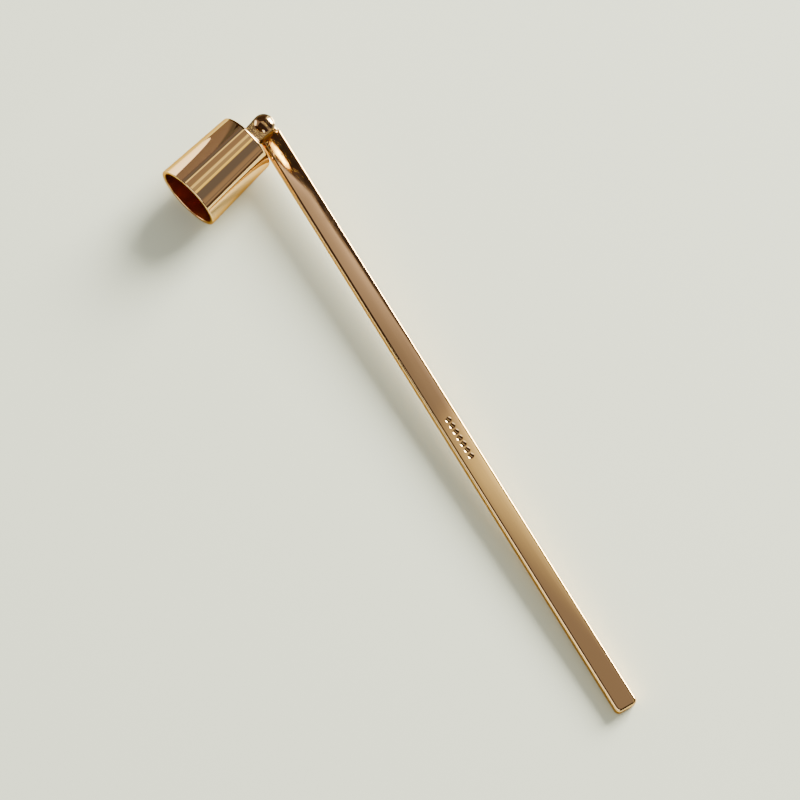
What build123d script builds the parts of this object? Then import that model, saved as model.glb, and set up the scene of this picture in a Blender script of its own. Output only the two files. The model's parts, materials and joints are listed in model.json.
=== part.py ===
"""Candle snuffer: a conical metal cup hinged by a round-head rivet to a long flat bar handle.

Every piece is built in the hinge's own frame: the pin's axis is Z, the pin's middle is the origin,
and the bar runs along +X. The cup's mouth points towards -Y, folded back beside the bar.
The last section lays the finished pieces down as the snuffer rests on a table.
All lengths are in millimetres.
"""

import os
from math import acos, atan2, cos, hypot, radians, sin, tan

from build123d import *

# Bar handle
BAR_LENGTH = 244.5  # pin axis to far end
BAR_WIDTH = 8.2
BAR_THICKNESS = 5.0
BAR_CORNER = 1.8  # plan radius of the far end's two corners
BAR_EDGE = 1.05  # rounded long edges
SHOULDER = 5.6  # pin axis to the shoulder, on the bar's centre line
SHOULDER_SKEW = 9.5  # the shoulder leans back on the folded cup's side, degrees

# Hinge
TONGUE_THICKNESS = 2.2
TONGUE_RADIUS = 3.4
SLOT_CLEARANCE = 0.05  # each side of the tongue
PIN_RADIUS = 1.75
PIN_CLEARANCE = 0.04  # radial, in the tongue only
HEAD_RADIUS = 3.25
HEAD_HEIGHT = 1.25
EAR_RADIUS = 4.05
EAR_EDGE = 0.7
ROOT_WIDTH = 6.6  # where the ears meet the cup's top
BLOCK_WIDTH = 7.4
BLOCK_HEIGHT = 6.6
BLOCK_EDGE = 0.7
SLOT_FLOOR = 5.6  # pin axis to the bottom of the clevis slot

# Cup
CUP_TOP = 8.0  # pin axis to the cup's closed top
CUP_LENGTH = 30.3
TOP_RADIUS = 11.45
MOUTH_RADIUS = 12.7
CUP_WALL = 1.5
TOP_EDGE = 1.1
RIM_EDGE = 0.45
INNER_EDGE = 2.0
FOLD_ANGLE = 74.8  # between the bar and the cup's axis at rest, degrees

# Clevis screw
SPIGOT_RADIUS = 2.5
SPIGOT_GAP = 0.2  # the spigot stops this far short of the inner face, so that the screw clamps
SCREW_RADIUS = 1.5
SCREW_LENGTH = 3.4
SCREW_HEAD_RADIUS = 3.2
SCREW_HEAD_HEIGHT = 1.6
SCREW_SOCKET = 1.1  # half of the hexagon socket's width over corners
SOCKET_DEPTH = 0.9

# Row of plain round dimples pressed into the bar's top face
MARK_CENTRE = 134.5
MARK_COUNT = 7
MARK_PITCH = 2.5
MARK_BALL = 1.9
MARK_DEPTH = 0.35

half_bar = BAR_THICKNESS / 2
half_tongue = TONGUE_THICKNESS / 2
half_slot = half_tongue + SLOT_CLEARANCE
cove = half_bar - half_tongue
skew = radians(SHOULDER_SKEW)
mouth = CUP_TOP + CUP_LENGTH
cone_angle = atan2(MOUTH_RADIUS - TOP_RADIUS, CUP_LENGTH)

# The cup's frame: x runs from the pin to the mouth, z is the pin's axis.
fold = radians(FOLD_ANGLE)
cup_frame = Plane(origin=(0, 0, 0), x_dir=(cos(fold), -sin(fold), 0), z_dir=(0, 0, 1))
cup_section = Plane(origin=(0, 0, 0), x_dir=cup_frame.x_dir, z_dir=-cup_frame.y_dir)
cup_axis = Axis((0, 0, 0), cup_frame.x_dir)


def across(distance):
    """The plane square to the cup's axis, this far from the pin."""
    return Plane(origin=cup_frame.x_dir * distance, x_dir=cup_frame.y_dir, z_dir=cup_frame.x_dir)


def cove_foot(y):
    """Where the cove runs out on to the tongue, at this distance from the bar's centre line."""
    return SHOULDER - cove / cos(skew) - y * tan(skew)


# Handle: a flat bar with softened long edges and a thin tongue in front of a coved shoulder.
skewed = Plane(
    origin=(SHOULDER, 0, 0),
    x_dir=(cos(skew), sin(skew), 0),
    z_dir=(sin(skew), -cos(skew), 0),
)
with BuildPart() as handle:
    with BuildSketch(Plane.XY.offset(-half_bar)):
        Polygon(
            (cove_foot(-BAR_WIDTH / 2), -BAR_WIDTH / 2),
            (BAR_LENGTH, -BAR_WIDTH / 2),
            (BAR_LENGTH, BAR_WIDTH / 2),
            (cove_foot(BAR_WIDTH / 2), BAR_WIDTH / 2),
            align=None,
        )
    extrude(amount=BAR_THICKNESS)
    fillet(handle.edges().filter_by(Axis.Z).group_by(Axis.X)[-1], BAR_CORNER)
    broad_edges = handle.faces().filter_by(Axis.Z).edges()
    fillet(broad_edges.filter_by_position(Axis.X, SHOULDER + cove, BAR_LENGTH), BAR_EDGE)
    # The shoulder is a cove up to each broad face, square across but a little skewed in plan.
    with BuildSketch(skewed):
        for side in (1, -1):
            with BuildLine():
                corner = (-cove, side * half_tongue)
                Line((0, side * half_bar), (0, side * (half_bar + 1)))
                Line((0, side * (half_bar + 1)), (-3 * SHOULDER, side * (half_bar + 1)))
                Line((-3 * SHOULDER, side * (half_bar + 1)), (-3 * SHOULDER, side * half_tongue))
                Line((-3 * SHOULDER, side * half_tongue), corner)
                RadiusArc(corner, (0, side * half_bar), -side * cove)
            make_face()
    extrude(amount=2 * BAR_WIDTH, both=True, mode=Mode.SUBTRACT)
    with BuildSketch(Plane.XY.offset(-half_tongue)):
        Circle(TONGUE_RADIUS)
        Rectangle(SHOULDER, 2 * TONGUE_RADIUS, align=(Align.MIN, Align.CENTER))
    extrude(amount=TONGUE_THICKNESS)
    Hole(PIN_RADIUS + PIN_CLEARANCE)
    with Locations((MARK_CENTRE, 0, half_bar + MARK_BALL - MARK_DEPTH)):
        with GridLocations(MARK_PITCH, 0, MARK_COUNT, 1):
            Sphere(MARK_BALL, mode=Mode.SUBTRACT)

# Cup: a thick-walled cone, closed at the top, with a hole for the clevis spigot.
with BuildPart() as snuffer_cup:
    with BuildSketch(cup_section) as cup_profile:
        Polygon((CUP_TOP, 0), (mouth, 0), (mouth, MOUTH_RADIUS), (CUP_TOP, TOP_RADIUS), align=None)
        fillet(cup_profile.vertices().sort_by(Axis.X)[0:2].sort_by(Axis.Y)[-1], TOP_EDGE)
    revolve(axis=cup_axis)
    with BuildSketch(cup_section) as bore_profile:
        inner_top = CUP_TOP + CUP_WALL
        inner_wall = CUP_WALL / cos(cone_angle)
        inner_top_radius = TOP_RADIUS + CUP_WALL * tan(cone_angle) - inner_wall
        Polygon(
            (inner_top, 0),
            (mouth, 0),
            (mouth, MOUTH_RADIUS - inner_wall),
            (inner_top, inner_top_radius),
            align=None,
        )
        fillet(bore_profile.vertices().sort_by(Axis.X)[0:2].sort_by(Axis.Y)[-1], INNER_EDGE)
    revolve(axis=cup_axis, mode=Mode.SUBTRACT)
    rim = snuffer_cup.faces().filter_by(GeomType.PLANE).sort_by(cup_axis)[-1]
    fillet(rim.edges(), RIM_EDGE)
    with BuildSketch(across(CUP_TOP)):
        Circle(SPIGOT_RADIUS)
    extrude(amount=CUP_WALL, mode=Mode.SUBTRACT)

# Clevis: two ears on a rounded block, with a spigot that enters the cup and takes the screw.
with BuildPart() as hinge_clevis:
    with BuildSketch(across(CUP_TOP)):
        Rectangle(BLOCK_WIDTH, BLOCK_HEIGHT)
    extrude(amount=SLOT_FLOOR - CUP_TOP)
    fillet(hinge_clevis.faces().sort_by(cup_axis)[0].edges(), BLOCK_EDGE)
    with BuildSketch(cup_frame.offset(-half_bar)):
        Circle(EAR_RADIUS)
        with Locations((CUP_TOP, 0)):
            Rectangle(CUP_TOP - SLOT_FLOOR, ROOT_WIDTH, align=(Align.MAX, Align.CENTER))
        make_hull()
    extrude(amount=BAR_THICKNESS)
    ear_edges = hinge_clevis.faces().filter_by(Axis.Z).edges()
    fillet(ear_edges.filter_by_position(cup_axis, -EAR_RADIUS, SLOT_FLOOR - EAR_EDGE), EAR_EDGE)
    with BuildSketch(cup_frame.offset(-half_slot)):
        with Locations((SLOT_FLOOR, 0)):
            Rectangle(4 * EAR_RADIUS, 4 * EAR_RADIUS, align=(Align.MAX, Align.CENTER))
    extrude(amount=2 * half_slot, mode=Mode.SUBTRACT)
    with BuildSketch(cup_frame):
        Circle(PIN_RADIUS)
    extrude(amount=BAR_THICKNESS, both=True, mode=Mode.SUBTRACT)
    with BuildSketch(across(CUP_TOP)):
        Circle(SPIGOT_RADIUS)
    extrude(amount=CUP_WALL - SPIGOT_GAP)
    with BuildSketch(across(CUP_TOP + CUP_WALL - SPIGOT_GAP)):
        Circle(SCREW_RADIUS)
    extrude(amount=-(SCREW_LENGTH - SPIGOT_GAP), mode=Mode.SUBTRACT)

# Clevis screw: button head inside the cup, its shank clamping the cup to the clevis.
with BuildPart() as clevis_screw:
    with BuildSketch(cup_section):
        seat = CUP_TOP + CUP_WALL
        with BuildLine():
            Polyline(
                (seat - SCREW_LENGTH, 0),
                (seat - SCREW_LENGTH, SCREW_RADIUS),
                (seat, SCREW_RADIUS),
                (seat, SCREW_HEAD_RADIUS),
            )
            RadiusArc(
                (seat, SCREW_HEAD_RADIUS),
                (seat + SCREW_HEAD_HEIGHT, 0),
                (SCREW_HEAD_RADIUS**2 + SCREW_HEAD_HEIGHT**2) / (2 * SCREW_HEAD_HEIGHT),
            )
            Line((seat + SCREW_HEAD_HEIGHT, 0), (seat - SCREW_LENGTH, 0))
        make_face()
    revolve(axis=cup_axis)
    with BuildSketch(across(seat + SCREW_HEAD_HEIGHT)):
        RegularPolygon(SCREW_SOCKET, 6)
    extrude(amount=-SOCKET_DEPTH, mode=Mode.SUBTRACT)

# Hinge pin: a round-head rivet, closed to the same dome on the underside.
with BuildPart() as hinge_pin:
    with BuildSketch(Plane.XZ):
        with BuildLine():
            dome = (HEAD_RADIUS**2 + HEAD_HEIGHT**2) / (2 * HEAD_HEIGHT)
            RadiusArc((0, half_bar + HEAD_HEIGHT), (HEAD_RADIUS, half_bar), dome)
            Polyline(
                (HEAD_RADIUS, half_bar),
                (PIN_RADIUS, half_bar),
                (PIN_RADIUS, -half_bar),
                (HEAD_RADIUS, -half_bar),
            )
            RadiusArc((HEAD_RADIUS, -half_bar), (0, -half_bar - HEAD_HEIGHT), dome)
            Line((0, -half_bar - HEAD_HEIGHT), (0, half_bar + HEAD_HEIGHT))
        make_face()
    revolve(axis=Axis.Z)

# Laid down: the cup lies on its cone and the bar's far end rests on its lower edge.
# The table's normal leans along the cup's axis by the cone angle, and is turned about
# that axis until the far end is as low as the cone.
end_point = Vector(BAR_LENGTH - BAR_CORNER, BAR_WIDTH / 2 - BAR_EDGE, -half_bar)
along = end_point.dot(cup_frame.x_dir)
sideways = end_point.dot(cup_frame.y_dir)
drop = (sin(cone_angle) * (mouth - along) - MOUTH_RADIUS * cos(cone_angle)) / cos(cone_angle)
turn = atan2(sideways, -half_bar) - acos(drop / hypot(half_bar, sideways))
table_normal = (
    cup_frame.x_dir * sin(cone_angle)
    + cup_frame.z_dir * (cos(cone_angle) * cos(turn))
    + cup_frame.y_dir * (cos(cone_angle) * sin(turn))
)
bar_on_table = Vector(1, 0, 0) - table_normal * table_normal.X
table = Plane(origin=(0, 0, 0), x_dir=bar_on_table, z_dir=table_normal)

pieces = {
    "handle": handle,
    "snuffer_cup": snuffer_cup,
    "hinge_clevis": hinge_clevis,
    "clevis_screw": clevis_screw,
    "hinge_pin": hinge_pin,
}
for piece in pieces.values():
    piece.part = piece.part.moved(table.location.inverse())
box = Compound([piece.part for piece in pieces.values()]).bounding_box()
foot = Location((-box.center().X, -box.center().Y, -box.min.Z))

os.makedirs("parts", exist_ok=True)
for name, piece in pieces.items():
    piece.part = piece.part.moved(foot)
    piece.part.label = name
    export_step(piece.part, f"parts/{name}.step")

hinge = foot * table.location.inverse()
print("pin centre", hinge.position, "orientation", hinge.orientation)
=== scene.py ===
"""A candle snuffer in polished rose-gold plate, lying folded on a pale table.

A conical cup hangs by a round-head rivet from a long flat bar. Every piece is modelled in the
frame of the hinge, in metres: the pin's middle is the origin, its axis is Z, and the bar, or the
cup's axis, runs along X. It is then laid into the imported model's frame.
"""

import json
import logging
from collections.abc import Callable
from dataclasses import dataclass
from enum import Enum
from math import asin, atan2, cos, hypot, pi, radians, sin, tan

import bmesh
import bpy
from mathutils import Matrix, Vector


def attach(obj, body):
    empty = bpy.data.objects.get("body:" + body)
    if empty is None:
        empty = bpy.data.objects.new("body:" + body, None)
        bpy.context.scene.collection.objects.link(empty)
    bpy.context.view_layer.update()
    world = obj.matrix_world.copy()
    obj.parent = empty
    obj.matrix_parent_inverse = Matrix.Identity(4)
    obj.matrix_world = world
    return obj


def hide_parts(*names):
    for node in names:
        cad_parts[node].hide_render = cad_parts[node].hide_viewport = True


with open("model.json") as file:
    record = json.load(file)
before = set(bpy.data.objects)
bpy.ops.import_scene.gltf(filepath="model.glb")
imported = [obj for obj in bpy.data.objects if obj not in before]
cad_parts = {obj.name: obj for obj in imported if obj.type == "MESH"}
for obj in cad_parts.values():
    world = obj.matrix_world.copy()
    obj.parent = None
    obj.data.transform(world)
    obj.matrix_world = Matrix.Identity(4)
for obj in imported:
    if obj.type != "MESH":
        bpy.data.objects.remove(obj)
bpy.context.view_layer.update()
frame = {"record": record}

log = logging.getLogger("snuffer")
MM = 0.001
UP = Vector((0, 0, 1))
ALONG_X = Matrix.Rotation(pi / 2, 4, "Y")
UPRIGHT = Matrix.Rotation(pi / 2, 4, "X")

Object = bpy.types.Object
Socket = bpy.types.NodeSocket
Pair = tuple[float, float]
Triple = tuple[float, float, float]
Quad = tuple[float, float, float, float]
Profile = list[Pair]

# Margins for picking faces and edges by their place.
JUST_UNDER = 0.99
JUST_OVER = 1.01
WELL_PAST = 1.5
ALIGNED = 0.9
FLAT_FACE_WEIGHT = 100


# ----------------------------------------
# Frames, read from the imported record


def axes_to_matrix(origin: Vector, x_axis: Vector, z_axis: Vector) -> Matrix:
    """Make a placement from an origin and two directions.

    Args:
        origin: Where the piece's own origin goes, in metres.
        x_axis: The direction of the piece's X.
        z_axis: The direction of the piece's Z; X is squared to it.

    Returns:
        The 4 by 4 placement matrix.
    """
    z = z_axis.normalized()
    x = (x_axis - z * x_axis.dot(z)).normalized()
    y = z.cross(x)
    rotation = Matrix((x, y, z)).transposed()
    return Matrix.Translation(origin) @ rotation.to_4x4()


@dataclass(frozen=True)
class Hinge:
    """The hinge's place: where the pin is, and which way the bar and the cup point from it."""

    pin: Vector
    pin_axis: Vector
    cup_axis: Vector
    bar_axis: Vector

    @classmethod
    def from_record(cls, record: dict) -> "Hinge":
        """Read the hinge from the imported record.

        Args:
            record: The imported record, with its joint and its two flat faces.

        Returns:
            The hinge.
        """
        joint = record["behaviour"]["joints"][0]
        faces = {mount["name"]: mount for mount in record["mounts"]}
        pin = Vector(joint["pos_m"])
        to_bar = Vector(faces["bar_back"]["pos_m"]) - pin
        return cls(pin, -Vector(joint["axis"]), Vector(faces["cup_mouth"]["axis"]), to_bar)

    @property
    def bar_place(self) -> Matrix:
        """Where the bar's own frame goes."""
        return axes_to_matrix(self.pin, self.bar_axis, self.pin_axis)

    @property
    def cup_place(self) -> Matrix:
        """Where the cup's own frame goes."""
        return axes_to_matrix(self.pin, self.cup_axis, self.pin_axis)


# ----------------------------------------
# Workshop: the few moves that every piece is made with


class Bench:
    """Edit-mode moves on one new mesh object, with faces and edges picked by their place."""

    def __init__(self, name: str) -> None:
        """Clear the selection and remember the piece's name.

        Args:
            name: The finished piece's name.
        """
        self.name = name
        bpy.ops.object.select_all(action="DESELECT")

    @property
    def work(self) -> Object:
        """The object on the bench."""
        return bpy.context.view_layer.objects.active

    def cylinder(self, radius: float, depth: float, sides: int, at: tuple = (0, 0, 0)) -> None:
        """Put a capped cylinder standing on Z on the bench, with its middle at a point."""
        bpy.ops.mesh.primitive_cylinder_add(radius=radius, depth=depth, vertices=sides, location=at)
        self.settle()

    def block(self, low: tuple, high: tuple) -> None:
        """Put a box on the bench.

        Args:
            low: Its lowest corner.
            high: Its highest corner.
        """
        middle = [(a + b) / 2 for a, b in zip(low, high)]
        bpy.ops.mesh.primitive_cube_add(size=1, location=middle)
        self.work.scale = [b - a for a, b in zip(low, high)]
        self.settle()

    def ring(self, radius: float, sides: int, height: float) -> None:
        """Put an open ring round Z on the bench, at a height."""
        bpy.ops.mesh.primitive_circle_add(radius=radius, vertices=sides, location=(0, 0, height))
        self.settle()

    def settle(self) -> None:
        """Name the new object, and put its place and size into its mesh."""
        self.work.name = self.name
        self.freeze()

    def freeze(self) -> None:
        """Put the object's place and size into its mesh."""
        bpy.ops.object.transform_apply(location=True, rotation=True, scale=True)

    def pick(self, kind: str, test: Callable[[Vector, Vector], bool]) -> None:
        """Select faces, edges or vertices whose middle passes a test, and nothing else.

        Args:
            kind: "FACE", "EDGE" or "VERT".
            test: Says yes or no to a middle and a direction: a face's normal or an edge's run.
        """
        bpy.ops.object.mode_set(mode="EDIT")
        bpy.ops.mesh.select_mode(type=kind)
        bpy.ops.mesh.select_all(action="DESELECT")
        mesh = bmesh.from_edit_mesh(self.work.data)
        if kind == "FACE":
            parts = [(face, face.calc_center_median(), face.normal) for face in mesh.faces]
        elif kind == "EDGE":
            ends = [(edge, edge.verts[0].co, edge.verts[1].co) for edge in mesh.edges]
            parts = [(edge, (a + b) / 2, (b - a).normalized()) for edge, a, b in ends]
        else:
            parts = [(vert, vert.co, vert.normal) for vert in mesh.verts]
        for part, middle, direction in parts:
            if test(middle, direction):
                part.select_set(True)
        mesh.select_flush_mode()
        bmesh.update_edit_mesh(self.work.data)

    def round_edges(self, width: float, segments: int) -> None:
        """Round the picked edges."""
        bpy.ops.mesh.bevel(offset=width, segments=segments, affect="EDGES", clamp_overlap=False)

    def shift(self, by: tuple) -> None:
        """Move what is picked."""
        bpy.ops.transform.translate(value=by)

    def grow(self, by: tuple, about: tuple) -> None:
        """Scale what is picked about a point."""
        bpy.ops.transform.resize(value=by, center_override=about)

    def pull(self, by: tuple) -> None:
        """Extrude what is picked along a vector."""
        bpy.ops.mesh.extrude_region_move(TRANSFORM_OT_translate={"value": by})

    def lift(self, by: float) -> None:
        """Extrude the picked ring along Z."""
        bpy.ops.mesh.extrude_edges_move(TRANSFORM_OT_translate={"value": (0, 0, by)})

    def hold(self) -> Object:
        """Make the finished piece the only one selected.

        Returns:
            The piece.
        """
        piece = bpy.data.objects[self.name]
        bpy.ops.object.select_all(action="DESELECT")
        bpy.context.view_layer.objects.active = piece
        piece.select_set(True)
        return piece

    def done_editing(self) -> None:
        """Back to object mode."""
        bpy.ops.object.mode_set(mode="OBJECT")

    def cut(self, cutter: Object, operation: str = "DIFFERENCE") -> None:
        """Cut another closed object out of the piece, or join it on, and throw it away.

        Args:
            cutter: The other object.
            operation: "DIFFERENCE" to cut, "UNION" to join.
        """
        piece = self.hold()
        modifier = piece.modifiers.new("cut", "BOOLEAN")
        modifier.operation = operation
        modifier.solver = "EXACT"
        modifier.object = cutter
        bpy.ops.object.modifier_apply(modifier=modifier.name)
        bpy.data.objects.remove(cutter, do_unlink=True)

    def finish(self, place: Matrix, smooth: float = 30.0) -> Object:
        """Smooth the round faces, keep the flat ones flat, and lay the piece in the model's frame.

        Args:
            place: Where the piece's own frame goes.
            smooth: Edges that turn less than this many degrees are shaded smooth.

        Returns:
            The finished object, at the origin with its place in its mesh.
        """
        self.done_editing()
        piece = self.hold()
        bpy.ops.object.shade_smooth_by_angle(angle=radians(smooth))
        piece.matrix_world = place
        self.freeze()
        weighted = piece.modifiers.new("flat faces stay flat", "WEIGHTED_NORMAL")
        weighted.keep_sharp = True
        weighted.weight = FLAT_FACE_WEIGHT
        bpy.ops.object.modifier_apply(modifier=weighted.name)
        log.info("%s: %d faces", piece.name, len(piece.data.polygons))
        return piece


def turned(bench: Bench, profile: Profile, sides: int) -> None:
    """Turn a closed profile round Z, ring by ring; both of its ends lie on the axis.

    Args:
        bench: The bench to work on.
        profile: (height, radius) from one pole to the other; the poles have radius 0.
        sides: Faces round the axis.
    """
    first_height, first_radius = profile[1]
    bench.ring(first_radius, sides, first_height)
    bpy.ops.object.mode_set(mode="EDIT")
    bpy.ops.mesh.select_all(action="SELECT")
    bench.lift(profile[0][0] - first_height)
    bpy.ops.mesh.merge(type="CENTER")
    bench.pick("VERT", lambda at, _: hypot(at.x, at.y) > first_radius / 2)
    height, radius = first_height, first_radius
    for next_height, next_radius in profile[2:-1]:
        bench.lift(next_height - height)
        bench.grow((next_radius / radius, next_radius / radius, 1), (0, 0, next_height))
        height, radius = next_height, next_radius
    bench.lift(profile[-1][0] - height)
    bpy.ops.mesh.merge(type="CENTER")
    bpy.ops.mesh.select_all(action="SELECT")
    bpy.ops.mesh.normals_make_consistent(inside=False)
    bench.done_editing()


def arc(
    centre: Pair, radius: float, start: float, end: float, steps: int
) -> Profile:
    """Points along an arc of a turned profile, its ends included.

    Args:
        centre: (height, radius) of the arc's centre.
        radius: The arc's radius.
        start: Where it starts, in degrees from the height axis towards the radius axis.
        end: Where it ends.
        steps: How many straight runs stand for it.

    Returns:
        The points.
    """
    angles = [radians(start + (end - start) * step / steps) for step in range(steps + 1)]
    return [(centre[0] + radius * cos(angle), centre[1] + radius * sin(angle)) for angle in angles]


# ----------------------------------------
# The bar


@dataclass
class Bar:
    """The flat bar handle: coved shoulder, thin tongue, softened edges and a row of dimples."""

    length: float = 244.5 * MM
    width: float = 8.2 * MM
    thickness: float = 5.0 * MM
    corner: float = 1.8 * MM
    edge: float = 1.05 * MM
    shoulder: float = 5.6 * MM
    skew: float = radians(9.5)
    tongue_thickness: float = 2.2 * MM
    tongue_radius: float = 3.4 * MM
    bore: float = 1.79 * MM
    mark_centre: float = 134.5 * MM
    mark_count: int = 7
    mark_pitch: float = 2.5 * MM
    mark_ball: float = 1.9 * MM
    mark_depth: float = 0.35 * MM
    corner_steps: int = 10
    edge_steps: int = 10
    cove_steps: int = 10
    tip_steps: int = 14
    tip_blunt: float = 0.02
    bore_sides: int = 48
    mark_sides: int = 48

    def build(self, hinge: Hinge) -> Object:
        """Model the bar.

        Args:
            hinge: Where the hinge is.

        Returns:
            The bar, in place.
        """
        half_width, half_thickness = self.width / 2, self.thickness / 2
        bench = Bench("bar_handle")
        foot, skin = self.shoulder, half_thickness * JUST_UNDER
        high = (self.length, half_width, half_thickness)
        bench.block((foot, -half_width, -half_thickness), high)
        tip = self.length * JUST_UNDER
        bench.pick("EDGE", lambda at, run: at.x > tip and abs(run.z) > ALIGNED)
        bench.round_edges(self.corner, self.corner_steps)
        for side in (1, -1):
            bench.pick("VERT", lambda at, _: at.x < foot * JUST_OVER and at.y * side > 0)
            bench.shift((-side * half_width * tan(self.skew), 0, 0))
        bench.pick("EDGE", lambda at, run: abs(at.z) > skin and at.x > foot * WELL_PAST)
        bench.round_edges(self.edge, self.edge_steps)
        self.draw_out_tongue(bench)
        bench.done_editing()
        bench.cut(self.pin_bore())
        bench.cut(self.dimples())
        return bench.finish(hinge.bar_place)

    def draw_out_tongue(self, bench: Bench) -> None:
        """Draw the bar's end out into a cove, a neck and a round-ended tongue.

        Args:
            bench: The bench with the bar on it.
        """
        half_thickness, half_tongue = self.thickness / 2, self.tongue_thickness / 2
        cove = half_thickness - half_tongue
        near = self.shoulder * WELL_PAST
        bench.pick("FACE", lambda at, normal: normal.x < -ALIGNED and at.x < near)
        height, reach = half_thickness, 0.0
        for step in range(1, self.cove_steps + 1):
            angle = pi / 2 * step / self.cove_steps
            next_height = half_thickness - cove * sin(angle)
            next_reach = cove * (1 - cos(angle)) / cos(self.skew)
            bench.pull((reach - next_reach, 0, 0))
            bench.grow((1, 1, next_height / height), (0, 0, 0))
            height, reach = next_height, next_reach
        bench.pull((0, 0, 0))
        bench.grow((1, 2 * self.tongue_radius / self.width, 1), (0, 0, 0))
        foot = self.shoulder - reach
        bench.pull((-foot, 0, 0))
        bench.grow((0, 1, 1), (0, 0, 0))
        across, along = 1.0, 0.0
        for step in range(1, self.tip_steps + 1):
            angle = pi / 2 * step / self.tip_steps
            next_across, next_along = max(cos(angle), self.tip_blunt), sin(angle)
            bench.pull(((along - next_along) * self.tongue_radius, 0, 0))
            bench.grow((1, next_across / across, 1), (0, 0, 0))
            across, along = next_across, next_along

    def pin_bore(self) -> Object:
        """Make the cutter for the pin's bore.

        Returns:
            The cutter.
        """
        bench = Bench("bore_cutter")
        bench.cylinder(self.bore, self.thickness, self.bore_sides)
        return bench.work

    def dimples(self) -> Object:
        """Make the cutter for the row of dimples: one ball punch, copied along the bar.

        Returns:
            The cutter.
        """
        bench = Bench("dimple_cutter")
        half_row = (self.mark_count - 1) / 2 * self.mark_pitch
        height = self.thickness / 2 + self.mark_ball - self.mark_depth
        start = (self.mark_centre - half_row, 0, height)
        bpy.ops.mesh.primitive_uv_sphere_add(
            radius=self.mark_ball,
            segments=self.mark_sides,
            ring_count=self.mark_sides,
            location=start,
        )
        bench.settle()
        bench.pick("FACE", lambda at, _: at.z > height)
        bpy.ops.mesh.delete(type="FACE")
        bench.pick("VERT", lambda at, _: abs(at.z - height) < 0.001 * MM)
        bpy.ops.mesh.edge_face_add()
        bpy.ops.mesh.select_all(action="SELECT")
        for _ in range(self.mark_count - 1):
            bpy.ops.mesh.duplicate_move(TRANSFORM_OT_translate={"value": (self.mark_pitch, 0, 0)})
        bench.done_editing()
        return bench.work


# ----------------------------------------
# The cup and what holds it


@dataclass
class Cup:
    """The turned cone: closed at the top, open at the mouth, with a hole for the clevis spigot."""

    top: float = 8.0 * MM
    length: float = 30.3 * MM
    top_radius: float = 11.45 * MM
    mouth_radius: float = 12.7 * MM
    wall: float = 1.5 * MM
    top_edge: float = 1.1 * MM
    rim_edge: float = 0.45 * MM
    inner_edge: float = 2.0 * MM
    spigot: float = 2.5 * MM
    edge_steps: int = 10
    inner_steps: int = 12
    hole_sides: int = 64
    sides: int = 192

    def profile(self) -> Profile:
        """Draw the cup's section from the outer pole, over the wall and the rim, to the inner pole.

        Returns:
            The section's points, as (height, radius).
        """
        mouth = self.top + self.length
        slope = atan2(self.mouth_radius - self.top_radius, self.length)
        rise, run = tan(slope), 1 / cos(slope)
        outer_wall = 90 + slope * 180 / pi
        floor = self.top + self.wall
        inner_mouth = self.mouth_radius - self.wall / cos(slope)
        inner_floor = inner_mouth - (self.length - self.wall) * rise
        top = (self.top + self.top_edge, self.top_radius + self.top_edge * (rise - run))
        rim_out = (mouth - self.rim_edge, self.mouth_radius - self.rim_edge * (rise + run))
        rim_in = (mouth - self.rim_edge, inner_mouth + self.rim_edge * (run - rise))
        bottom = (floor + self.inner_edge, inner_floor + self.inner_edge * (rise - run))
        flat = self.top_radius - self.top_edge * (run - rise)
        points = [(self.top, 0.0), (self.top, flat / 2)]
        points += arc(top, self.top_edge, 180, outer_wall, self.edge_steps)
        points += arc(rim_out, self.rim_edge, outer_wall, 0, self.edge_steps)
        points += arc(rim_in, self.rim_edge, 0, outer_wall - 180, self.edge_steps)
        points += arc(bottom, self.inner_edge, outer_wall, 180, self.inner_steps)
        points += [(floor, inner_floor / 2), (floor, 0.0)]
        return points

    def build(self, hinge: Hinge) -> Object:
        """Turn the cup and bore its top.

        Args:
            hinge: Where the hinge is.

        Returns:
            The cup, in place.
        """
        bench = Bench("cup")
        turned(bench, self.profile(), self.sides)
        hole = Bench("spigot_cutter")
        hole.cylinder(self.spigot, 4 * self.wall, self.hole_sides, at=(0, 0, self.top))
        bench.cut(hole.work)
        return bench.finish(hinge.cup_place @ ALONG_X)


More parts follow.
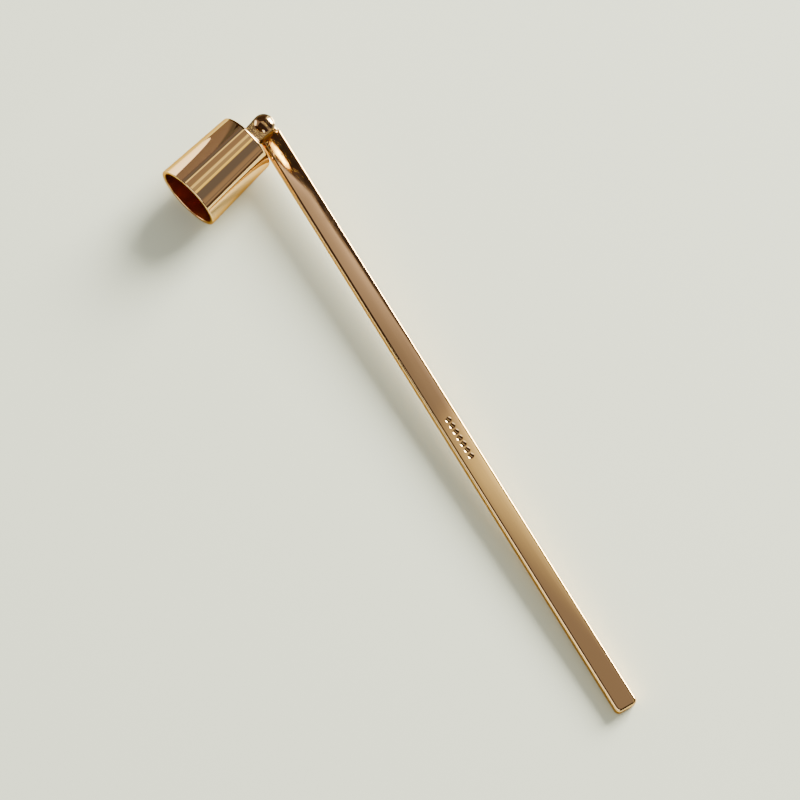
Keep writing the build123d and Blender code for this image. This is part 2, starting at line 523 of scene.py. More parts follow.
@dataclass
class Clevis:
    """Two ears on a rounded block, with the slot that takes the bar's tongue."""

    ear_radius: float = 4.05 * MM
    ear_edge: float = 0.7 * MM
    thickness: float = 5.0 * MM
    root_width: float = 6.6 * MM
    block_width: float = 7.4 * MM
    block_height: float = 6.6 * MM
    block_edge: float = 0.7 * MM
    block_start: float = 5.6 * MM
    top: float = 8.0 * MM
    slot: float = 2.3 * MM
    bore: float = 1.75 * MM
    spigot: float = 2.5 * MM
    spigot_length: float = 1.3 * MM
    tapped: float = 1.5 * MM
    tapped_depth: float = 3.2 * MM
    edge_steps: int = 8
    bore_sides: int = 48
    sides: int = 96

    def build(self, hinge: Hinge) -> Object:
        """Model the clevis.

        Args:
            hinge: Where the hinge is.

        Returns:
            The clevis, in place.
        """
        bench = Bench("clevis")
        bench.cylinder(self.ear_radius, self.thickness, self.sides)
        turn = asin((self.ear_radius - self.root_width / 2) / self.top)
        tangent = self.ear_radius * sin(turn)
        bench.pick("VERT", lambda at, _: at.x > tangent)
        bench.grow((0, self.root_width / 2 / (self.ear_radius * cos(turn)), 1), (0, 0, 0))
        bench.shift((self.top, 0, 0))
        skin, root = self.thickness / 2 * JUST_UNDER, self.top * JUST_UNDER
        bench.pick("EDGE", lambda at, run: abs(at.z) > skin and at.x < root)
        bench.round_edges(self.ear_edge, self.edge_steps)
        bench.done_editing()
        bench.cut(self.root_block(), "UNION")
        tip = self.top + self.spigot_length
        bench.cut(self.rod("spigot", self.spigot, self.top - self.tapped, tip), "UNION")
        slot = Bench("slot_cutter")
        half_slot = self.slot / 2
        slot.block((-self.top, -self.top, -half_slot), (self.block_start, self.top, half_slot))
        bench.cut(slot.work)
        bore = Bench("bore_cutter")
        bore.cylinder(self.bore, 2 * self.thickness, self.bore_sides)
        bench.cut(bore.work)
        bench.cut(self.rod("tap", self.tapped, tip - self.tapped_depth, tip + self.tapped))
        return bench.finish(hinge.cup_place)

    def root_block(self) -> Object:
        """Make the rounded block that the ears stand on.

        Returns:
            The block.
        """
        half_width, half_height = self.block_width / 2, self.block_height / 2
        bench = Bench("root_block")
        low = (self.block_start, -half_width, -half_height)
        bench.block(low, (self.top, half_width, half_height))
        bench.pick("EDGE", lambda at, run: at.x < self.block_start * JUST_OVER)
        bench.round_edges(self.block_edge, self.edge_steps)
        bench.done_editing()
        return bench.work

    def rod(self, name: str, radius: float, start: float, end: float) -> Object:
        """Make a rod along X, to join on or to cut with.

        Args:
            name: The rod's name.
            radius: Its radius.
            start: Where it starts on X.
            end: Where it ends.

        Returns:
            The rod.
        """
        bench = Bench(name)
        bench.cylinder(radius, end - start, self.bore_sides)
        bench.work.matrix_world = Matrix.Translation(((start + end) / 2, 0, 0)) @ ALONG_X
        bench.freeze()
        return bench.work


@dataclass
class Rivet:
    """The round-head rivet, with the same dome on both ends."""

    shank: float = 1.75 * MM
    head: float = 3.25 * MM
    height: float = 1.25 * MM
    seat: float = 2.5 * MM
    dome_steps: int = 20
    sides: int = 96

    def build(self, hinge: Hinge) -> Object:
        """Turn the rivet.

        Args:
            hinge: Where the hinge is.

        Returns:
            The rivet, in place.
        """
        ball = (self.head**2 + self.height**2) / (2 * self.height)
        centre = self.seat + self.height - ball
        edge = asin(self.head / ball) * 180 / pi
        top = arc((centre, 0.0), ball, edge, 0, self.dome_steps)
        bottom = [(-height, radius) for height, radius in reversed(top)]
        bottom[0], top[-1] = (-self.seat - self.height, 0.0), (self.seat + self.height, 0.0)
        bench = Bench("rivet")
        shank = [(-self.seat, self.shank), (self.seat, self.shank)]
        turned(bench, bottom + shank + top, self.sides)
        return bench.finish(hinge.cup_place)


@dataclass
class ClevisScrew:
    """The button-head screw inside the cup, with its hexagon socket."""

    radius: float = 1.5 * MM
    length: float = 3.4 * MM
    head: float = 3.2 * MM
    height: float = 1.6 * MM
    seat: float = 9.5 * MM
    socket: float = 1.1 * MM
    socket_depth: float = 0.9 * MM
    socket_sides: int = 6
    dome_steps: int = 16
    sides: int = 64

    def build(self, hinge: Hinge) -> Object:
        """Turn the screw and sink its socket.

        Args:
            hinge: Where the hinge is.

        Returns:
            The screw, in place.
        """
        ball = (self.head**2 + self.height**2) / (2 * self.height)
        edge = asin(self.head / ball) * 180 / pi
        tip = self.seat - self.length
        crown = arc((self.seat + self.height - ball, 0.0), ball, edge, 0, self.dome_steps)
        crown[-1] = (self.seat + self.height, 0.0)
        bench = Bench("clevis_screw_inside")
        shank = [(tip, 0.0), (tip, self.radius), (self.seat, self.radius)]
        turned(bench, shank + crown, self.sides)
        socket = Bench("socket_cutter")
        crown_top = (0, 0, self.seat + self.height)
        socket.cylinder(self.socket, 2 * self.socket_depth, self.socket_sides, at=crown_top)
        bench.cut(socket.work)
        return bench.finish(hinge.cup_place @ ALONG_X)


# ----------------------------------------
# Node trees


class Weave:
    """Short hand for wiring one node tree: every move returns an output socket."""

    def __init__(self, tree: bpy.types.NodeTree) -> None:
        """Remember the tree.

        Args:
            tree: The tree to add nodes to.
        """
        self.tree = tree

    def node(self, kind: str, **settings: object) -> bpy.types.Node:
        """Add a node.

        Args:
            kind: The node's type.
            settings: Its properties, by name.

        Returns:
            The node.
        """
        node = self.tree.nodes.new(kind)
        for key, value in settings.items():
            setattr(node, key, value)
        return node

    def feed(self, socket: Socket, value: object) -> None:
        """Wire a socket, or set it when the value is a plain one.

        Args:
            socket: The input.
            value: An output to wire to it, or a plain value.
        """
        if isinstance(value, Socket):
            self.tree.links.new(value, socket)
        else:
            socket.default_value = value

    def fed(
        self, node: bpy.types.Node, *values: object, **named: object
    ) -> bpy.types.bpy_prop_collection:
        """Feed a node's inputs.

        Args:
            node: The node.
            values: What its inputs get, in order.
            named: What its inputs get, by name.

        Returns:
            The node's outputs.
        """
        for socket, value in zip(node.inputs, values):
            self.feed(socket, value)
        for name, value in named.items():
            self.feed(node.inputs[name], value)
        return node.outputs

    def math(self, operation: str, *values: object, clamp: bool = False) -> Socket:
        """Add a Math node that works on some values."""
        node = self.node("ShaderNodeMath", operation=operation, use_clamp=clamp)
        return self.fed(node, *values)[0]

    def times(self, first: object, *others: object) -> Socket:
        """Multiply values together.

        Args:
            first: The first value.
            others: What it is multiplied by, one after another.

        Returns:
            The product.
        """
        for other in others:
            first = self.math("MULTIPLY", first, other)
        return first

    def dot(self, vector: object, other: object) -> Socket:
        """Add a dot product."""
        node = self.node("ShaderNodeVectorMath", operation="DOT_PRODUCT")
        return self.fed(node, vector, other)["Value"]

    def scaled(self, vector: object, factor: object) -> Socket:
        """Scale a vector or a colour."""
        node = self.node("ShaderNodeVectorMath", operation="SCALE")
        return self.fed(node, vector, Scale=factor)[0]

    def join(self, x: object, y: object, z: object) -> Socket:
        """Join three values into a vector."""
        return self.fed(self.node("ShaderNodeCombineXYZ"), x, y, z)[0]

    def split(self, vector: object) -> bpy.types.bpy_prop_collection:
        """Split a vector into its three values."""
        return self.fed(self.node("ShaderNodeSeparateXYZ"), vector)

    def step(
        self, value: object, low: float, high: float, out_low: float = 0.0, out_high: float = 1.0
    ) -> Socket:
        """Map a value smoothly from one range to another."""
        node = self.node("ShaderNodeMapRange", interpolation_type="SMOOTHSTEP")
        return self.fed(node, value, low, high, out_low, out_high)[0]

    def noise(self, vector: object, scale: float, detail: float, roughness: float) -> Socket:
        """Add a noise texture and give its value."""
        node = self.node("ShaderNodeTexNoise")
        return self.fed(node, Vector=vector, Scale=scale, Detail=detail, Roughness=roughness)["Fac"]

    def mix(self, factor: object, first: object, second: object) -> Socket:
        """Mix two colours."""
        node = self.node("ShaderNodeMix", data_type="RGBA")
        return self.fed(node, Factor=factor, A=first, B=second)["Result"]

    def ramp(self, value: object, stops: list[tuple[float, Triple]]) -> Socket:
        """Add a colour ramp.

        Args:
            value: What it reads, from 0 to 1.
            stops: (position, colour), in order.

        Returns:
            The colour.
        """
        node = self.node("ShaderNodeValToRGB")
        ramp = node.color_ramp
        while len(ramp.elements) < len(stops):
            ramp.elements.new(1.0)
        for element, (position, colour) in zip(ramp.elements, stops):
            element.position = position
            element.color = (*colour, 1)
        self.feed(node.inputs[0], value)
        return node.outputs["Color"]


def grey(value: float) -> Quad:
    """Make a grey colour."""
    return (value, value, value, 1)


# Noise, as (lumps to a metre, detail, roughness of the detail).
POLISH_LINES = (2600, 3.0, 0.6)
RIPPLES = (110, 1.0, 0.4)
SMUDGES = (260, 3.0, 0.65)
SMUDGE_EDGE = (0.48, 0.72)
SLOW_ALONG = 0.3


# ----------------------------------------
# Finishes


def new_material(name: str) -> tuple[bpy.types.Material, Weave, bpy.types.Node]:
    """Start a node material.

    Args:
        name: The material's name.

    Returns:
        The material, the weave of its tree and its Principled shader.
    """
    material = bpy.data.materials.new(name)
    material.use_nodes = True
    return material, Weave(material.node_tree), material.node_tree.nodes["Principled BSDF"]


def add_socket(
    tree: bpy.types.NodeTree, name: str, direction: str, kind: str = "NodeSocketFloat"
) -> None:
    """Give a node group a socket."""
    tree.interface.new_socket(name=name, in_out=direction, socket_type=kind)


class Groups:
    """The node groups that the finishes share."""

    def __init__(self) -> None:
        """Make the groups."""
        self.place = self.make_place()
        self.polish = self.make_polish()

    def make_place(self) -> bpy.types.NodeTree:
        """Tell where a point is in a piece's own frame: along, across and up, in metres.

        Returns:
            The group.
        """
        tree = bpy.data.node_groups.new("piece_place", "ShaderNodeTree")
        for name in ("Pin", "Along", "Across", "Up"):
            add_socket(tree, name, "INPUT", "NodeSocketVector")
        add_socket(tree, "Place", "OUTPUT", "NodeSocketVector")
        weave = Weave(tree)
        given = weave.node("NodeGroupInput").outputs
        offset = weave.node("ShaderNodeVectorMath", operation="SUBTRACT")
        weave.feed(offset.inputs[0], weave.node("ShaderNodeTexCoord").outputs["Object"])
        weave.feed(offset.inputs[1], given["Pin"])
        ways = [weave.dot(offset.outputs[0], given[name]) for name in ("Along", "Across", "Up")]
        place = weave.join(*ways)
        weave.feed(weave.node("NodeGroupOutput").inputs["Place"], place)
        return tree

    def make_polish(self) -> bpy.types.NodeTree:
        """Make polishing lines, slow ripples and handling marks: a height and a roughness.

        Returns:
            The group.
        """
        tree = bpy.data.node_groups.new("polish", "ShaderNodeTree")
        add_socket(tree, "Place", "INPUT", "NodeSocketVector")
        for name in ("Stretch", "Lines", "Ripple", "Roughness", "Wear"):
            add_socket(tree, name, "INPUT")
        add_socket(tree, "Height", "OUTPUT")
        add_socket(tree, "Roughness", "OUTPUT")
        weave = Weave(tree)
        given = weave.node("NodeGroupInput").outputs
        along, across, up = weave.split(given["Place"])
        grain = weave.join(weave.math("DIVIDE", along, given["Stretch"]), across, up)
        lines = weave.times(weave.noise(grain, *POLISH_LINES), given["Lines"])
        slow = weave.join(weave.times(along, SLOW_ALONG), across, up)
        ripple = weave.times(weave.noise(slow, *RIPPLES), given["Ripple"])
        smudge = weave.step(weave.noise(slow, *SMUDGES), *SMUDGE_EDGE)
        rough = weave.math("MULTIPLY_ADD", smudge, given["Wear"], given["Roughness"])
        output = weave.node("NodeGroupOutput")
        weave.feed(output.inputs["Height"], weave.math("ADD", lines, ripple))
        weave.feed(output.inputs["Roughness"], rough)
        return tree


@dataclass(frozen=True)
class Plate:
    """A polished rose-gold plate, with the marks of its polishing in the piece's own direction."""

    name: str
    roughness: float
    stretch: float
    lines: float
    ripple: float
    wear: float
    colour: Triple = (0.83, 0.545, 0.24)
    edge_tint: Triple = (0.62, 0.42, 0.20)

    def material(self, groups: Groups, place: Matrix) -> bpy.types.Material:
        """Make the material.

        Args:
            groups: The shared node groups.
            place: The piece's own frame.

        Returns:
            The material.
        """
        material, weave, shader = new_material(self.name)
        polish = weave.node("ShaderNodeGroup", node_tree=groups.polish)
        weave.feed(polish.inputs["Place"], self.place(weave, groups, place))
        values = (self.stretch, self.lines, self.ripple, self.roughness, self.wear)
        for name, value in zip(("Stretch", "Lines", "Ripple", "Roughness", "Wear"), values):
            polish.inputs[name].default_value = value
        bump = weave.node("ShaderNodeBump")
        bump.inputs["Distance"].default_value = 1.0
        weave.feed(bump.inputs["Height"], polish.outputs["Height"])
        weave.feed(shader.inputs["Normal"], bump.outputs[0])
        weave.feed(shader.inputs["Roughness"], polish.outputs["Roughness"])
        shader.inputs["Metallic"].default_value = 1.0
        shader.inputs["Base Color"].default_value = (*self.colour, 1)
        shader.inputs["Specular Tint"].default_value = (*self.edge_tint, 1)
        return material

    def place(self, weave: Weave, groups: Groups, place: Matrix) -> Socket:
        """Add the node that tells where a point is on the piece.

        Args:
            weave: The material's tree.
            groups: The shared node groups.
            place: The piece's own frame.

        Returns:
            The place.
        """
        node = weave.node("ShaderNodeGroup", node_tree=groups.place)
        for name, column in zip(("Along", "Across", "Up", "Pin"), range(4)):
            node.inputs[name].default_value = place.col[column].to_3d()
        return node.outputs["Place"]


@dataclass(frozen=True)
class ShadedInsidePlate(Plate):
    """The cup's plate: polished outside and duller inside, with painted shade and bounced light
    making the inside colour dark red.
    """

    # Painted shade and bounced light: the dark red that the inside of the cup shows, put into its
    # colour.
    inside: Triple = (0.50, 0.11, 0.012)
    inside_roughness: float = 0.28
    blend: float = 0.1 * MM
    rim_blend: float = 0.6 * MM

    def material(self, groups: Groups, place: Matrix) -> bpy.types.Material:
        """Make the material.

        Args:
            groups: The shared node groups.
            place: The cup's own frame.

        Returns:
            The material.
        """
        material = super().material(groups, place)
        weave = Weave(material.node_tree)
        shader = material.node_tree.nodes["Principled BSDF"]
        cup = Cup()
        along, across, up = weave.split(self.place(weave, groups, place))
        square = weave.math("MULTIPLY_ADD", across, across, weave.times(up, up))
        radius = weave.math("SQRT", square)
        slope = (cup.mouth_radius - cup.top_radius) / cup.length
        mid_wall = cup.top_radius - cup.wall / 2 - slope * cup.top
        wall = weave.math("MULTIPLY_ADD", along, slope, mid_wall)
        mouth = cup.top + cup.length
        within = weave.times(
            weave.step(weave.math("SUBTRACT", wall, radius), -self.blend, self.blend),
            weave.step(along, cup.top + cup.wall / 2, cup.top + cup.wall),
            weave.step(along, mouth, mouth - self.rim_blend),
        )
        outside = shader.inputs["Roughness"].links[0].from_socket
        rough = weave.math("ADD", outside, weave.times(within, self.inside_roughness))
        weave.feed(shader.inputs["Roughness"], rough)
        # Within the cup, the plate colour gives way to the painted shade and bounced light.
        colour = weave.mix(within, (*self.colour, 1), (*self.inside, 1))
        weave.feed(shader.inputs["Base Color"], colour)
        return material


@dataclass(frozen=True)
class Steel(Plate):
    """Plain bright steel."""

    colour: Triple = (0.62, 0.60, 0.57)
    edge_tint: Triple = (0.95, 0.95, 0.95)


def dress(piece: Object, material: bpy.types.Material) -> None:
    """Give a piece its only material."""
    piece.data.materials.clear()
    piece.data.materials.append(material)


# ----------------------------------------
# Table, light and camera


def board(name: str, size: Pair, place: Matrix) -> Object:
    """Put a plane in the scene.

    Args:
        name: The plane's name.
        size: Its two sides, in metres.
        place: Where its own frame goes.

    Returns:
        The plane.
    """
    bpy.ops.object.select_all(action="DESELECT")
    bpy.ops.mesh.primitive_plane_add(size=1)
    plane = bpy.context.object
    plane.name = name
    plane.scale = (*size, 1)
    bpy.ops.object.transform_apply(scale=True)
    plane.matrix_world = place
    return plane


def hide(thing: Object, *rays: str) -> None:
    """Let some kinds of rays pass an object by."""
    for ray in rays:
        setattr(thing, f"visible_{ray}", False)


class Tone(Enum):
    """What the polished metal can mirror round it: linear light colours."""

    NIGHT = (0.045, 0.03, 0.03)
    STONE = (0.34, 0.30, 0.31)
    SHADE = (0.20, 0.195, 0.25)
    GLOOM = (0.09, 0.065, 0.065)
    RUST = (0.24, 0.17, 0.18)
    BROWN = (0.42, 0.345, 0.32)
    TAN = (0.57, 0.51, 0.42)
    CREAM = (1.36, 1.24, 0.75)
    HONEY = (1.64, 1.42, 0.50)
    LIGHT = (1.65, 1.52, 0.90)
    FRINGE = (3.0, 1.1, 0.03)
    SPARK = (26.0, 22.0, 9.0)

    @property
    def rgba(self) -> Quad:
        """The colour with its alpha."""
        return (*self.value, 1)


@dataclass
class Ceiling:
    """The room overhead as the metal mirrors it: soft bands of light that run with the cup's axis.

    It is seen by reflections only. "Over" is the distance from the pin away from the cup's mouth,
    and "side" the distance towards the open side of the fold, both on the ceiling.
    """

    height: float = 1.413
    size: float = 14.0
    span: float = 80.0
    lane: Quad = (0.0, 0.06, 0.40, 0.47)
    fade: Pair = (0.268, 0.335)
    far_end: float = 0.56
    far_soft: float = 0.03
    far_sides: Pair = (0.72, 0.66)
    open_side: Pair = (0.135, 0.11)
    stone_run: Pair = (0.17, 0.27)
    stone_gain: float = 1.45
    beam: float = 0.3867
    beam_corner: float = 0.325
    beam_slope: float = 0.228
    beam_turn: float = 0.25
    beam_width: float = 0.034
    beam_soft: float = 0.0015
    beam_far_soft: float = 0.01
    beam_end: float = 0.03
    glow: float = 1.5
    glow_start: float = 0.2
    glow_run: Pair = (-0.25, 0.30)
    glow_reach: float = 0.008
    glow_soft: float = 0.002
    spark: Pair = (0.3865, 0.366)
    spark_size: Pair = (0.0033, 0.0105)
    spark_lean: float = -0.14
    spark_grain: Triple = (520, 3.0, 0.8)
    spark_ragged: float = 9.0
    fringe_edge: Pair = (1.75, 1.35)
    spark_edge: Pair = (0.95, 0.55)

    def bands(self) -> list[tuple[float, float, Tone]]:
        """List the bands from the open side round.

        Returns:
            Where each starts and how soft its start is, in degrees, and its tone.
        """
        return [
            (-80, 0, Tone.RUST),
            (-40, 12, Tone.SHADE),
            (-27.5, 0.6, Tone.LIGHT),
            (-23.0, 1.0, Tone.BROWN),
            (-4.0, 2.5, Tone.CREAM),
            (4.2, 2.0, Tone.TAN),
            (16.2, 1.0, Tone.HONEY),
            (23.6, 3.0, Tone.SHADE),
            (54, 8, Tone.BROWN),
            (69, 1.0, Tone.SHADE),
            (72, 1.0, Tone.BROWN),
        ]

    def stops(self) -> list[tuple[float, Triple]]:
        """Turn the bands into colour-ramp stops.

        Returns:
            (position, colour), in order.
        """
        bands = self.bands()
        stops = [(0.0, bands[0][2].value)]
        for (_, _, before), (start, soft, tone) in zip(bands, bands[1:]):
            for at, end in ((start - soft / 2, before), (start + soft / 2, tone)):
                stops.append((0.5 + at / (2 * self.span), end.value))
        return stops

    def build(self, hinge: Hinge) -> None:
        """Hang the ceiling.

        Args:
            hinge: Where the hinge is.
        """
        place = hinge.cup_place @ Matrix.Translation((0, 0, self.height))
        plane = board("ceiling", (self.size, self.size), place)
        material = bpy.data.materials.new("ceiling_light")
        material.use_nodes = True
        material.cycles.emission_sampling = "NONE"
        weave = Weave(material.node_tree)
        material.node_tree.nodes.clear()
        spot = weave.split(weave.node("ShaderNodeTexCoord").outputs["Object"])
        over, side = weave.times(spot[0], -1.0), weave.times(spot[1], -1.0)
        emission = weave.node("ShaderNodeEmission")
        weave.feed(emission.inputs["Color"], self.colour(weave, over, side))
        output = weave.node("ShaderNodeOutputMaterial")
        weave.feed(output.inputs["Surface"], emission.outputs[0])
        dress(plane, material)
        hide(plane, "camera", "diffuse", "shadow")

    def colour(self, weave: Weave, over: Socket, side: Socket) -> Socket:
        """Lay the bands, the dark beam that the bar mirrors, the light beside it and the spark.

        Args:
            weave: The material's tree.
            over: Distance away from the mouth.
            side: Distance towards the open side.

        Returns:
            The light's colour.
        """
        angle = weave.math("ARCTANGENT", weave.math("DIVIDE", side, -self.height))
        turn = weave.math("MULTIPLY_ADD", angle, 1 / (2 * radians(self.span)), 0.5, clamp=True)
        bands = weave.ramp(turn, self.stops())
        before = weave.math("SUBTRACT", self.beam_corner, side)
        lean = weave.times(weave.math("MAXIMUM", before, 0.0), self.beam_slope)
        turn = weave.times(weave.math("MINIMUM", before, 0.0), -self.beam_turn)
        edge = weave.math("SUBTRACT", self.beam, weave.math("ADD", lean, turn))
        gap = weave.math("SUBTRACT", edge, over)
        fall = weave.math("EXPONENT", weave.math("DIVIDE", gap, -self.glow_reach))
        glow = weave.times(
            weave.math("MINIMUM", fall, 1.0),
            weave.step(gap, -self.glow_soft, self.glow_soft),
            weave.step(side, *self.glow_run, self.glow_start, self.glow),
        )
        gain = weave.step(side, *self.stone_run, 1.0, self.stone_gain)
        stone = weave.scaled(Tone.STONE.value, gain)
        opening = weave.times(weave.step(over, *self.fade), weave.step(side, *self.open_side))
        past_beam = weave.step(over, self.beam, self.beam + self.beam_end)
        light = weave.math("MAXIMUM", opening, past_beam)
        lit = weave.scaled(weave.mix(light, stone, bands), weave.math("ADD", glow, 1.0))
        colour = weave.mix(self.in_lane(weave, over, side), Tone.NIGHT.rgba, lit)
        beam = weave.times(
            weave.step(gap, self.beam_soft, -self.beam_soft),
            weave.step(gap, -self.beam_width - self.beam_far_soft, -self.beam_width),
        )
        colour = weave.mix(beam, colour, Tone.NIGHT.rgba)
        width, length = self.spark_size
        across = weave.math("DIVIDE", weave.math("SUBTRACT", over, self.spark[0]), width)
        run = weave.math("SUBTRACT", side, self.spark[1])
        across = weave.math("MULTIPLY_ADD", run, self.spark_lean / width, across)
        along = weave.math("DIVIDE", run, length)
        spark = weave.math("MULTIPLY_ADD", across, across, weave.times(along, along))
        noise = weave.noise(weave.join(over, side, 0.0), *self.spark_grain)
        ragged = weave.math("SUBTRACT", noise, 0.5)
        spark = weave.math("MULTIPLY_ADD", ragged, self.spark_ragged, spark)
        colour = weave.mix(weave.step(spark, *self.fringe_edge), colour, Tone.FRINGE.rgba)
        return weave.mix(weave.step(spark, *self.spark_edge), colour, Tone.SPARK.rgba)

    def in_lane(self, weave: Weave, over: Socket, side: Socket) -> Socket:
        """Tell how far a point is within the lit lane.

        Args:
            weave: The material's tree.
            over: Distance away from the mouth.
            side: Distance towards the open side.

        Returns:
            1 within the lane and 0 outside it.
        """
        reach = weave.math("SQRT", weave.math("MULTIPLY_ADD", side, side, self.height**2))
        ratio = weave.math("DIVIDE", over, reach)
        near, near_full, far_full, far = self.lane
        beyond = weave.times(
            weave.step(over, self.far_end, self.far_end + self.far_soft),
            weave.step(weave.math("ABSOLUTE", side), *self.far_sides),
        )
        return weave.times(
            weave.step(ratio, near, near_full),
            weave.step(ratio, far, far_full),
            weave.math("SUBTRACT", 1.0, beyond),
        )


@dataclass
class Studio:
    """The pale table, the soft light and the camera."""

    hinge: Hinge
    table_size: float = 6.0
    plaster: Triple = (0.68, 0.703, 0.52)
    plaster_roughness: float = 0.7
    plaster_shine: float = 0.2
    aim: Triple = (-0.0083, 0.0087, 0.0)
    toward_camera: Triple = (0.2651, -0.1310, 0.9553)
    image_up: Triple = (-0.8581, 0.5134, 0.0)
    distance: float = 1.1673
    lens: float = 150.14
    sensor: float = 36.0
    sight: float = 20.0
    key_distance: float = 3.0
    key_size: Pair = (1.8, 1.6)
    key_power: float = 395.0
    key_heading: Pair = (0.68, 0.73)
    key_height: float = radians(31)
    window_size: Pair = (2.4, 3.9)
    window_distance: float = 3.3
    window_light: float = 60.0
    fill: float = 0.75
    backdrop: float = 1.8
    card_place: Triple = (0.0385, -0.067, 0.0)
    card_size: float = 0.076
    card_light: float = 3.2
    flag_size: Pair = (0.6, 0.11)
    flag_place: Triple = (0, -0.069, 0.03)
    flag_cloth: float = 0.02
    flag_end: float = -0.009
    flag_soft: float = 0.004
    small_flag_size: Pair = (0.026, 0.045)
    small_flag_place: Triple = (0.022, 0.007, 0.0235)
    fill_card_light: float = 3.0
    fill_card_size: Pair = (1.75, 0.75)
    fill_card_turn: float = radians(16)
    fill_card_height: float = radians(32)
    fill_card_distance: float = 1.3

    def build(self) -> None:
        """Lay the table, hang the lights and set the camera."""
        self.table()
        self.key_light()
        self.card()
        self.flag()
        self.small_flag()
        self.fill_card()
        Ceiling().build(self.hinge)
        self.room()
        self.camera()

    def table(self) -> None:
        """Lay the table."""
        table = board("table", (self.table_size, self.table_size), Matrix.Identity(4))
        material, _, shader = new_material("pale_plaster")
        shader.inputs["Base Color"].default_value = (*self.plaster, 1)
        shader.inputs["Roughness"].default_value = self.plaster_roughness
        shader.inputs["Specular IOR Level"].default_value = self.plaster_shine
        dress(table, material)

    def lamp(self, name: str, size: Pair, power: float, *hidden: str) -> Object:
        """Make a rectangular area light that faces down its own -Z.

        Args:
            name: The light's name.
            size: Its width and height, in metres.
            power: Its power, in watts.
            hidden: The kinds of rays that pass it by.

        Returns:
            The light's object.
        """
        light = bpy.data.lights.new(name, "AREA")
        light.shape = "RECTANGLE"
        light.size, light.size_y = size
        light.energy = power
        lamp = bpy.data.objects.new(name, light)
        bpy.context.collection.objects.link(lamp)
        hide(lamp, *hidden)
        return lamp

    def stand(self, lamp: Object, place: Vector, back: Vector) -> None:
        """Stand a lamp at a place, with its back towards a direction."""
        lamp.location = place
        lamp.rotation_euler = back.to_track_quat("Z", "Y").to_euler()

    def key_light(self) -> None:
        """Hang the key light: a large soft panel, high on the upper right of the view."""
        lamp = self.lamp("key", self.key_size, self.key_power, "camera", "glossy")
        up = Vector(self.image_up)
        rightward, upward = self.key_heading
        heading = (up.cross(UP) * rightward + up * upward).normalized()
        toward = heading * cos(self.key_height) + UP * sin(self.key_height)
        self.stand(lamp, Vector(self.aim) + toward * self.key_distance, toward)
        self.window(heading)

    def window(self, heading: Vector) -> None:
        """Stand a tall bright window behind the key light; only the metal sees it.

        Args:
            heading: Which way it stands.
        """
        width, height = self.window_size
        power = self.window_light * width * height * pi
        lamp = self.lamp("window", self.window_size, power, "camera", "diffuse")
        middle = Vector(self.aim) + heading * self.window_distance + UP * (height / 2)
        self.stand(lamp, middle, heading)

    def card(self) -> None:
        """Stand a small round reflector by the open side of the cup; only the metal sees it."""
        area = pi * (self.card_size / 2) ** 2
        size = (self.card_size, self.card_size)
        lamp = self.lamp("card", size, self.card_light * area * pi, "camera", "diffuse")
        lamp.data.shape = "DISK"
        lamp.matrix_world = self.hinge.cup_place @ Matrix.Translation(self.card_place) @ UPRIGHT

    def flag(self) -> None:
        """Stand a dark flag behind the small reflector; only the metal sees it."""
        place = self.hinge.cup_place @ Matrix.Translation(self.flag_place) @ UPRIGHT
        flag = board("flag", self.flag_size, place)
        material, weave, shader = new_material("flag_cloth")
        shader.inputs["Base Color"].default_value = grey(self.flag_cloth)
        along = weave.split(weave.node("ShaderNodeTexCoord").outputs["Object"])[0]
        by_ear = weave.step(along, self.flag_end, self.flag_end - self.flag_soft)
        colour = weave.mix(by_ear, Tone.RUST.rgba, Tone.NIGHT.rgba)
        weave.feed(shader.inputs["Emission Color"], colour)
        shader.inputs["Emission Strength"].default_value = 1.0
        material.cycles.emission_sampling = "NONE"
        dress(flag, material)
        hide(flag, "camera", "diffuse", "shadow")

    def small_flag(self) -> None:
        """Stand a small dark flag close above the ear in the view; only the metal sees it."""
        up = Vector(self.image_up)
        upward, leftward, height = self.small_flag_place
        place = self.hinge.pin + up * upward - up.cross(UP) * leftward
        facing = up.to_track_quat("Z", "Y").to_matrix().to_4x4()
        place = Matrix.Translation((place.x, place.y, height)) @ facing
        flag = board("small_flag", self.small_flag_size, place)
        material, _, shader = new_material("small_flag_cloth")
        shader.inputs["Base Color"].default_value = Tone.NIGHT.rgba
        shader.inputs["Specular IOR Level"].default_value = 0.0
        dress(flag, material)
        hide(flag, "camera", "diffuse", "shadow")

    def fill_card(self) -> None:
        """Hang a long reflector low beyond the cup's mouth; only the metal sees it."""
        width, height = self.fill_card_size
        power = self.fill_card_light * width * height * pi
        lamp = self.lamp("fill_card", self.fill_card_size, power, "camera", "diffuse")
        turn = Matrix.Rotation(self.fill_card_turn, 3, "Z")
        axis = turn @ self.hinge.cup_axis.normalized()
        toward = axis * cos(self.fill_card_height) + UP * sin(self.fill_card_height)
        self.stand(lamp, self.hinge.pin + toward * self.fill_card_distance, toward)

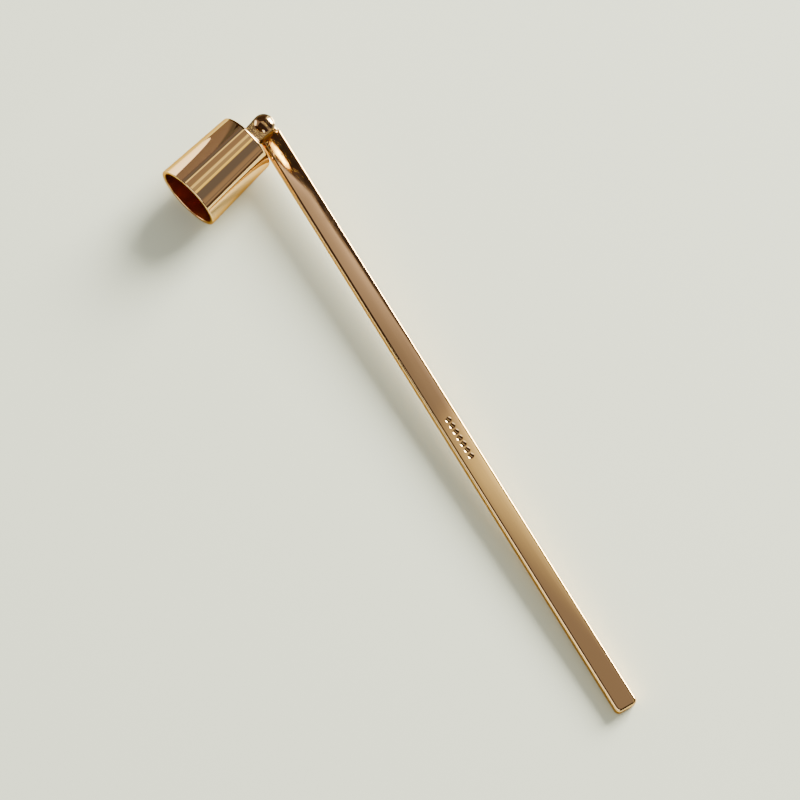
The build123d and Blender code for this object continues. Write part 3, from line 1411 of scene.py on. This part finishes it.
    def room(self) -> None:
        """Fill the room: even light on the table, a dim room in the metal, a pale backdrop."""
        world = bpy.data.worlds.new("room")
        bpy.context.scene.world = world
        world.use_nodes = True
        weave = Weave(world.node_tree)
        path = weave.node("ShaderNodeLightPath")
        colour = weave.mix(path.outputs["Is Glossy Ray"], grey(self.fill), Tone.GLOOM.rgba)
        colour = weave.mix(path.outputs["Is Camera Ray"], colour, grey(self.backdrop))
        weave.feed(world.node_tree.nodes["Background"].inputs["Color"], colour)

    def camera(self) -> None:
        """Set the camera over the table, looking down with a slight lean."""
        data = bpy.data.cameras.new("camera")
        data.lens = self.lens
        data.sensor_width = self.sensor
        data.clip_end = self.sight
        camera = bpy.data.objects.new("camera", data)
        bpy.context.collection.objects.link(camera)
        back = Vector(self.toward_camera).normalized()
        up = Vector(self.image_up)
        up = (up - back * up.dot(back)).normalized()
        rotation = Matrix((up.cross(back), up, back)).transposed()
        place = Matrix.Translation(Vector(self.aim) + back * self.distance)
        camera.matrix_world = place @ rotation.to_4x4()
        bpy.context.scene.camera = camera


def main() -> None:
    """Build every piece, dress it, and set up the studio."""
    logging.basicConfig(level=logging.INFO, format="%(message)s")
    hinge = Hinge.from_record(frame["record"])
    groups = Groups()
    bar_plate = Plate("bar_rose_gold", 0.015, 60.0, 0.25e-6, 3.0e-6, 0.02)
    cup_plate = ShadedInsidePlate("cup_rose_gold", 0.012, 1.0, 0.35e-6, 1.5e-6, 0.015)
    clevis_plate = Plate(
        "clevis_rose_gold", 0.10, 12.0, 1.2e-6, 1.0e-6, 0.05, (0.58, 0.42, 0.21), (0.50, 0.40, 0.25)
    )
    rivet_plate = Plate("rivet_rose_gold", 0.02, 1.0, 0.2e-6, 0.5e-6, 0.02)
    steel = Steel("screw_steel", 0.22, 1.0, 1.0e-6, 1.0e-6, 0.1)
    makers = (
        (Bar(), bar_plate, "bar", "handle", "bar_plate"),
        (Cup(), cup_plate, "snuffer", "snuffer_cup", "cup_plate"),
        (Clevis(), clevis_plate, "snuffer", "hinge_clevis", "clevis_plate"),
        (Rivet(), rivet_plate, "snuffer", "hinge_pin", "rivet_plate"),
        (ClevisScrew(), steel, "snuffer", "clevis_screw", "screw_steel"),
    )
    for maker, finish, body, node, slot in makers:
        piece = maker.build(hinge)
        place = hinge.bar_place if body == "bar" else hinge.cup_place
        dress(piece, finish.material(groups, place))
        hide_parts(node)
        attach(piece, body)
    Studio(hinge).build()


if __name__ == "__main__":
    main()
